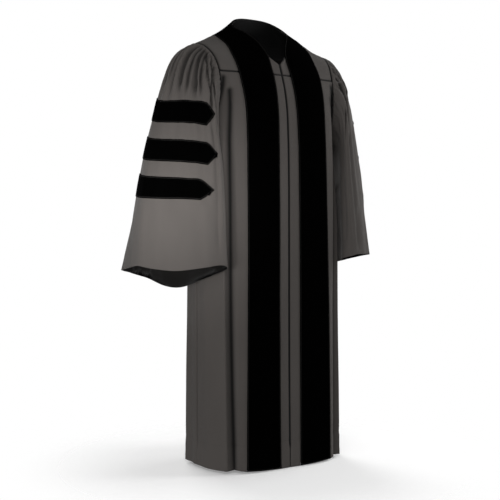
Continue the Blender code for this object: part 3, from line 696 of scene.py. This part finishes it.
def evenly(line, normals, pitch):
    """Places along a line at an even pitch: the point, the way along and the way out of the cloth."""
    step = np.linalg.norm(np.diff(line, axis=0), axis=1)
    length = np.concatenate([[0], np.cumsum(step)])
    if length[-1] < SHORTEST_ROW * pitch:
        return []
    wanted = np.arange(pitch / 2, length[-1], pitch)
    at = [np.stack([np.interp(wanted + shift, length, line[:, k]) for k in range(3)], axis=1)
          for shift in (-pitch / 4, 0, pitch / 4)]
    out = np.stack([np.interp(wanted, length, normals[:, k]) for k in range(3)], axis=1)
    return [(Vector(place), Vector(later - earlier), Vector(up))
            for earlier, place, later, up in zip(*at, out)]


def beads(name, places, size, lift, material):
    """One piece of many small rounded grains, each laid along its own place."""
    whole = bmesh.new()
    mesh = bpy.data.meshes.new(name)
    for start in range(0, len(places), GRAINS_AT_ONCE):
        few = bmesh.new()
        for place, along, up in places[start:start + GRAINS_AT_ONCE]:
            along.normalize()
            across = up.cross(along).normalized()
            up = along.cross(across)
            turned = Matrix((along, across, up)).transposed().to_4x4()
            sized = Matrix.Diagonal((*size, 1))
            bmesh.ops.create_icosphere(few, subdivisions=1, radius=0.5,
                                       matrix=Matrix.Translation(place + up * lift) @ turned @ sized)
        few.to_mesh(mesh)
        few.free()
        whole.from_mesh(mesh)
    whole.to_mesh(mesh)
    whole.free()
    mesh.shade_smooth()
    piece = bpy.data.objects.new(name, mesh)
    bpy.context.scene.collection.objects.link(piece)
    mesh.materials.append(material)
    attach(piece, "root")
    return piece


def edge_stitching(piece, material):
    """A row of stitches inside every edge of a piece."""
    shell = bmesh.new()
    shell.from_mesh(piece.data)
    distance = shell.verts.layers.float["from_edge"]
    crossed = {}
    for edge in shell.edges:
        a, b = (vert[distance] - EDGE_LINE for vert in edge.verts)
        if a * b < 0:
            crossed[edge] = a / (a - b)
    pairs = []
    for face in shell.faces:
        found = [edge.index for edge in face.edges if edge in crossed]
        if len(found) == 2:
            pairs.append(found)
    shell.edges.ensure_lookup_table()
    places = []
    for row in chains(pairs):
        ends = [(shell.edges[i].verts, crossed[shell.edges[i]]) for i in row]
        line = np.array([verts[0].co.lerp(verts[1].co, share) for verts, share in ends])
        normals = np.array([verts[0].normal.lerp(verts[1].normal, share) for verts, share in ends])
        places += evenly(line, normals, STITCH_PITCH)
    shell.free()
    return beads(piece.name + "_stitching", places, STITCH, STITCH_LIFT, material)


def hem_stitching(piece, material):
    """A row of stitches round the body at the top of the turned hem."""
    shell = bmesh.new()
    shell.from_mesh(piece.data)
    cut = bmesh.ops.bisect_plane(shell, geom=shell.verts[:] + shell.edges[:] + shell.faces[:], dist=WELD,
                                 plane_co=(0, 0, HEM + HEM_STITCH), plane_no=(0, 0, 1))["geom_cut"]
    shell.verts.index_update()
    shell.verts.ensure_lookup_table()
    shell.normal_update()
    pairs = [[vert.index for vert in edge.verts] for edge in cut if isinstance(edge, bmesh.types.BMEdge)]
    places = []
    for row in chains(pairs):
        line = np.array([shell.verts[i].co for i in row])
        normals = np.array([shell.verts[i].normal for i in row])
        places += evenly(line, normals, STITCH_PITCH)
    shell.free()
    return beads(piece.name + "_stitching", places, STITCH, 0.0, material)


def zip_teeth(panel, material):
    """The closed zip's teeth, between the two front edges from the hem to the open neck."""
    points = points_of(panel.data)
    edge = points[np.abs(points[:, 0]) < ZIP_EDGE]
    edge = edge[np.argsort(edge[:, 2])]
    line = edge * (0, 1, 1) + (0, TEETH_BEHIND, 0)
    heights = np.arange(line[0, 2] + TEETH_ENDS[0], line[-1, 2] - TEETH_ENDS[1], TOOTH_PITCH)
    behind = np.interp(heights, line[:, 2], line[:, 1])
    places = [(Vector((TOOTH_SIDEWAYS * (-1) ** i, y, z)), Vector((1, 0, 0)), Vector((0, -1, 0)))
              for i, (y, z) in enumerate(zip(behind, heights))]
    return beads("zip_teeth", places, TOOTH, 0.0, material)


class Value:
    """A socket of a material, whose arithmetic adds Math nodes."""

    def __init__(self, socket):
        self.socket = socket

    def math(self, operation, *others):
        tree = self.socket.id_data
        node = tree.nodes.new("ShaderNodeMath")
        node.operation = operation
        for place, value in enumerate(others):
            if isinstance(value, Value):
                tree.links.new(value.socket, node.inputs[place])
            else:
                node.inputs[place].default_value = value
        return Value(node.outputs[0])

    def __add__(self, other):
        return self.math("ADD", self, other)

    def __sub__(self, other):
        return self.math("SUBTRACT", self, other)

    def __rsub__(self, other):
        return self.math("SUBTRACT", other, self)

    def __mul__(self, other):
        return self.math("MULTIPLY", self, other)

    def __truediv__(self, other):
        return self.math("DIVIDE", self, other)

    def __pow__(self, other):
        return self.math("POWER", self, other)

    def sine(self):
        return self.math("SINE", self)

    def exponent(self):
        return self.math("EXPONENT", self)

    def size(self):
        return self.math("ABSOLUTE", self)

    def or_larger(self, other):
        return self.math("MAXIMUM", self, other)

    def ribs(self, pitch):
        """Even ribs across a length, from 0 to 1."""
        return (self * (2 * math.pi / pitch)).sine() * 0.5 + 0.5

    __radd__, __rmul__ = __add__, __mul__


class Finish:
    """One material, with a method that adds any other node to it."""

    def __init__(self, name, colour, **fixed):
        self.material = bpy.data.materials.new(name)
        self.material.use_nodes = True
        self.tree = self.material.node_tree
        self.shader = self.tree.nodes["Principled BSDF"]
        self.material.diffuse_color = (*colour, 1)
        self.shader.inputs["Base Color"].default_value = (*colour, 1)
        for socket, value in fixed.items():
            self.shader.inputs[socket.replace("_", " ")].default_value = value

    def node(self, kind, settings, values, output=0):
        node = self.tree.nodes.new("ShaderNode" + kind)
        for name, value in settings.items():
            setattr(node, name, value)
        for name, value in values.items():
            if isinstance(value, Value):
                self.tree.links.new(value.socket, node.inputs[name])
            else:
                node.inputs[name].default_value = value
        return Value(node.outputs[output])

    def feed(self, socket, value):
        self.tree.links.new(value.socket, self.shader.inputs[socket])

    def places(self):
        return self.node("TexCoord", {}, {}, "Object")

    def pattern(self):
        """The place on the flat cut, across the grain and along it, in metres."""
        parts = self.tree.nodes.new("ShaderNodeSeparateXYZ")
        self.tree.links.new(self.node("TexCoord", {}, {}, "UV").socket, parts.inputs[0])
        return Value(parts.outputs[0]), Value(parts.outputs[1])

    def number(self, name):
        return self.node("Attribute", {"attribute_name": name}, {}, "Fac")

    def cloudy(self, scale, detail=2.0, stretch=(1, 1, 1)):
        places = self.node("VectorMath", {"operation": "MULTIPLY"}, {0: self.places(), 1: stretch})
        return self.node("TexNoise", {}, {"Vector": places, "Scale": scale, "Detail": detail}, "Fac")

    def blend(self, share, one, two):
        """A colour between two, through the colour sockets of a Mix node."""
        return self.node("Mix", {"data_type": "RGBA"}, {0: share, 6: one, 7: two}, 2)

    def raise_by(self, height, distance, strength=1.0):
        self.feed("Normal", self.node("Bump", {}, {"Height": height, "Distance": distance,
                                                   "Strength": strength}, "Normal"))


# Pitches of the weaves, in metres.
TWILL = 0.0011
THREADS = (0.00045, 0.0005)             # along the cut and across it
SATIN_FLOATS = 0.0006
CHEVRONS = 0.0016
# How much darker painted shade makes the bottom of a seam and of a fold.
PAINTED_SEAM_DARKENING, PAINTED_FOLD_DARKENING = 0.95, 0.72
PAINTED_SHADE_COLOUR = (0.003, 0.003, 0.003, 1)      # the colour of the painted shade that they darken towards
PRESSED_HIGHLIGHT_WIDTH = 0.0011      # half width of the grey line in a velvet edge: pressed pile, partly a painted highlight of its rolled edge


def cloth_finish(name="gown cloth", pale=(0.108, 0.098, 0.091, 1), dark=(0.070, 0.063, 0.059, 1)):
    """Matt gown cloth: a fine twill, a little paler where it was handled, with painted shade in seams and
    folds.
    """
    finish = Finish(name, (0.085, 0.077, 0.071), Roughness=0.85, Specular_IOR_Level=0.10,
                    Sheen_Weight=0.08, Sheen_Roughness=0.5)
    across, along = finish.pattern()
    ribs = (across + along).ribs(TWILL)
    threads = (along * (2 * math.pi / THREADS[0])).sine() * (across * (2 * math.pi / THREADS[1])).sine()
    slubs = finish.cloudy(900.0, 2.0, (1.0, 1.0, 0.25))
    patches = finish.cloudy(9.0, 4.0, (1.0, 1.0, 0.45))
    share = patches * 0.55 + slubs * 0.25 + ribs * 0.20
    # painted shade in the seams and in the bottoms of folds
    shade = (finish.number("painted_seam_shade") * PAINTED_SEAM_DARKENING).or_larger(finish.number("painted_fold_shade") * PAINTED_FOLD_DARKENING)
    finish.feed("Base Color", finish.blend(shade, finish.blend(share, dark, pale), PAINTED_SHADE_COLOUR))
    finish.feed("Roughness", 0.78 + 0.14 * slubs)
    finish.raise_by(ribs * 0.6 + threads * 0.25 + slubs * 0.6 + patches * 1.5, 0.00030)
    return finish.material


def velvet_finish():
    """Black pile: it drinks the light but for its brushing; its pressed edges are greyer, partly a painted
    highlight.
    """
    finish = Finish("black velvet", (0.0012, 0.0011, 0.0012), Roughness=0.95, Specular_IOR_Level=0.0,
                    Sheen_Weight=0.006, Sheen_Roughness=0.4, Sheen_Tint=(0.6, 0.6, 0.62, 1))
    beside = (finish.number("from_edge") - EDGE_LINE) / PRESSED_HIGHLIGHT_WIDTH
    line = (0 - beside.size() ** 2.0).exponent()
    brushed = finish.cloudy(14.0, 3.0, (1.0, 1.0, 0.35))
    tufts = finish.cloudy(1600.0, 1.0)
    # the grey edge line: the pressed pile's own colour, and partly a painted highlight of the rolled edge
    share = line * 0.85 + brushed * 0.03 + tufts * 0.03
    finish.feed("Base Color", finish.blend(share, (0.0002, 0.0002, 0.0002, 1), (0.0135, 0.013, 0.0125, 1)))
    finish.feed("Roughness", 0.98 - line * 0.3)
    finish.raise_by(tufts * 0.7 + brushed * 0.3, 0.0006)
    return finish.material


def satin_finish():
    """Black lining satin, with its floats up the cut and a soft unevenness."""
    finish = Finish("lining satin", (0.005, 0.005, 0.005), Roughness=0.45, Specular_IOR_Level=0.20,
                    Sheen_Weight=0.02)
    across, along = finish.pattern()
    floats = across.ribs(SATIN_FLOATS)
    soft = finish.cloudy(20.0, 2.0, (1.0, 1.0, 0.4))
    finish.feed("Base Color", finish.blend(soft * 0.6 + floats * 0.4, (0.0025, 0.0025, 0.0025, 1),
                                           (0.0075, 0.0075, 0.0075, 1)))
    finish.feed("Roughness", 0.38 + 0.14 * soft)
    finish.raise_by(floats + soft, 0.00012)
    return finish.material


def thread_finish():
    """Dark sewing thread, twisted."""
    finish = Finish("sewing thread", (0.010, 0.010, 0.010), Roughness=0.6, Specular_IOR_Level=0.2)
    twist = finish.cloudy(2200.0, 1.0)
    finish.feed("Base Color", finish.blend(twist, (0.006, 0.006, 0.006, 1), (0.016, 0.015, 0.015, 1)))
    finish.raise_by(twist, 0.0001)
    return finish.material


def tape_finish():
    """The zip's tape, woven in chevrons."""
    finish = Finish("zip tape", (0.008, 0.008, 0.008), Roughness=0.7, Specular_IOR_Level=0.2)
    across, along = finish.pattern()
    chevrons = (across.size() + along).ribs(CHEVRONS)
    finish.feed("Base Color", finish.blend(chevrons, (0.002, 0.002, 0.002, 1), (0.006, 0.006, 0.006, 1)))
    finish.feed("Roughness", 0.62 + 0.15 * chevrons)
    finish.raise_by(chevrons, 0.0003)
    return finish.material


def cut_and_sewn(piece, with_pieces=()):
    """Reads a cloth piece's flat cut and its area, and keeps nothing."""
    width, length = piece["cut"]
    areas = np.empty(len(piece.data.polygons), np.float32)
    piece.data.polygons.foreach_get("area", areas)
    min(float(areas.sum()), width * length)


AXIS = Vector((0.0, 0.03, -0.3))        # a point inside the body of the gown
CLOTH_FINISH = cloth_finish()
# The cloth over ten times darker for the inner faces: partly the duller back of the twill, mostly painted
# shade inside the sleeves and body.
SHADED_WRONG_SIDE = cloth_finish("shaded wrong side of the cloth", (0.0080, 0.0072, 0.0066, 1),
                          (0.0048, 0.0043, 0.0040, 1))
VELVET_FINISH = velvet_finish()
SATIN_FINISH = satin_finish()
TAPE_FINISH = tape_finish()
THREAD_FINISH = thread_finish()

for node, levels, held in (("front_left", 3, "hung"), ("front_right", 3, "hung"),
                           ("back", 2, "gathered"), ("yoke", 2, "stretched")):
    panel = body_piece(node, levels, AXIS)
    finished(panel, CLOTH_FINISH, "gown_cloth", node, shaded_wrong_side=SHADED_WRONG_SIDE)
    sewing = []
    if node != "yoke":
        sewing.append(hem_stitching(panel, THREAD_FINISH))
    if node == "front_left":
        sewing.append(zip_teeth(panel, THREAD_FINISH))
    cut_and_sewn(panel, sewing)

for side in ("left", "right"):
    sleeve = sleeve_piece(side)
    finished(sleeve, CLOTH_FINISH, "gown_cloth", "sleeve_" + side, shaded_wrong_side=SHADED_WRONG_SIDE)
    cut_and_sewn(sleeve)
    band = velvet_piece("velvet_" + side, AXIS, 3)
    finished(band, VELVET_FINISH, "velvet", "velvet_" + side)
    cut_and_sewn(band,
                 [edge_stitching(band, THREAD_FINISH)])
    low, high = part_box("sleeve_" + side)
    for number in (1, 2, 3):
        node = f"bar_{side}_{number}"
        bar = velvet_piece(node, (low + high) / 2, 3, side)
        finished(bar, VELVET_FINISH, "velvet", node)
        cut_and_sewn(bar,
                     [edge_stitching(bar, THREAD_FINISH)])

for node, thickness, material, slot in (("neck_lining", SATIN, SATIN_FINISH, "neck_satin"),
                                        ("zip_tape", SATIN, TAPE_FINISH, "zip_tape")):
    shell = outer_face(node, AXIS)
    as_quads(shell)
    piece = rounded(node + "_layer", shell, 2)
    if node == "neck_lining":
        set_points(piece.data, points_of(piece.data) - normals_of(piece.data) * LINING_INSIDE)
    solid(piece, thickness)
    finished(piece, material, slot, node)
    cut_and_sewn(piece)

# The studio: a pale floor, soft lights round the gown, and the photograph's view.
CAMERA_TURN = math.radians(34.9)
CAMERA_DISTANCE = 3.24
CAMERA_HEIGHT = 0.740
AIM_TURN = math.radians(33.95)
AIM_DOWN = math.radians(1.51)
LENS = 74.04
SENSOR = 36.0
FLOOR_DROP = 0.0105      # how far the floor lies below the hem's level
FLOOR_REACH = 0.80
ROOM_LIGHT = 0.15        # the pale room's light on the gown
FLOOR_FADES = 0.45       # share of its reach from which the floor fades into the room
FLOOR_GLOW = 0.24        # keeps the floor nearly as pale as the room round it
# Lamps: place, the point each looks at, size and watts.
LAMPS = {
    "soft": ((-1.7, -2.1, 0.55), (0.0, 0.0, -0.25), 1.3, 27.0),
    "low": ((-2.3, -0.9, -0.9), (-0.2, 0.0, -0.8), 1.0, 18.0),
    "front": ((2.4, -1.3, 0.5), (0.0, 0.0, -0.4), 1.2, 32.0),
    "back": ((0.6, 3.0, 0.4), (0.0, 0.0, -0.5), 1.8, 60.0),
    "right": ((3.0, 0.2, 0.2), (0.0, 0.0, -0.5), 1.8, 36.0),
}
# The lamp on the near sleeve: place, aim, radius, watts, cone and how softly the cone ends.
SLEEVE_LAMP = ((-1.75, -2.30, -0.60), (-0.42, -0.05, -0.50), 0.20, 420.0, math.radians(14), 1.0)


def studio_floor():
    slab = bmesh.new()
    bmesh.ops.create_grid(slab, x_segments=1, y_segments=1, size=2 * FLOOR_REACH,
                          matrix=Matrix.Translation((0, 0, HEM - FLOOR_DROP)))
    mesh = bpy.data.meshes.new("floor")
    slab.to_mesh(mesh)
    slab.free()
    floor = bpy.data.objects.new("floor", mesh)
    bpy.context.scene.collection.objects.link(floor)
    paint = Finish("studio floor", (0.9, 0.9, 0.9), Roughness=0.9, Specular_IOR_Level=0.0,
                   Emission_Color=(1, 1, 1, 1), Emission_Strength=FLOOR_GLOW)
    level = paint.node("VectorMath", {"operation": "MULTIPLY"}, {0: paint.places(), 1: (1, 1, 0)})
    out = paint.node("VectorMath", {"operation": "LENGTH"}, {0: level}, "Value")
    paint.feed("Alpha", paint.node("MapRange", {"interpolation_type": "SMOOTHSTEP"},
                                   {"Value": out, "From Min": FLOOR_REACH * FLOOR_FADES,
                                    "From Max": FLOOR_REACH, "To Min": 1.0, "To Max": 0.0}))
    mesh.materials.append(paint.material)
    floor.visible_diffuse = False


def room():
    """A white room, dimmer for the gown than for the eye."""
    world = bpy.data.worlds.new("studio")
    bpy.context.scene.world = world
    world.use_nodes = True
    tree = world.node_tree
    seen = tree.nodes.new("ShaderNodeLightPath")
    strength = tree.nodes.new("ShaderNodeMapRange")
    strength.inputs["To Min"].default_value = ROOM_LIGHT
    strength.inputs["To Max"].default_value = 1.0
    tree.links.new(seen.outputs["Is Camera Ray"], strength.inputs["Value"])
    tree.links.new(strength.outputs[0], tree.nodes["Background"].inputs["Strength"])
    tree.nodes["Background"].inputs["Color"].default_value = (1, 1, 1, 1)


def aimed(data, place, aim):
    lamp = bpy.data.objects.new(data.name, data)
    lamp.location = place
    lamp.rotation_euler = (Vector(aim) - Vector(place)).to_track_quat("-Z", "Y").to_euler()
    bpy.context.scene.collection.objects.link(lamp)


def lamps():
    for name, (place, aim, size, power) in LAMPS.items():
        data = bpy.data.lights.new(name, "AREA")
        data.shape, data.size, data.energy = "DISK", size, power
        aimed(data, place, aim)
    place, aim, size, power, cone, softness = SLEEVE_LAMP
    data = bpy.data.lights.new("sleeve", "SPOT")
    data.shadow_soft_size, data.energy, data.spot_size, data.spot_blend = size, power, cone, softness
    aimed(data, place, aim)


def camera_view():
    data = bpy.data.cameras.new("camera")
    data.lens, data.sensor_width = LENS, SENSOR
    camera = bpy.data.objects.new("camera", data)
    camera.location = (-CAMERA_DISTANCE * math.sin(CAMERA_TURN), -CAMERA_DISTANCE * math.cos(CAMERA_TURN),
                       HEM + CAMERA_HEIGHT)
    camera.rotation_euler = (math.pi / 2 - AIM_DOWN, 0, -AIM_TURN)
    bpy.context.scene.collection.objects.link(camera)
    bpy.context.scene.camera = camera
    bpy.context.scene.view_settings.view_transform = "Standard"


studio_floor()
room()
lamps()
camera_view()
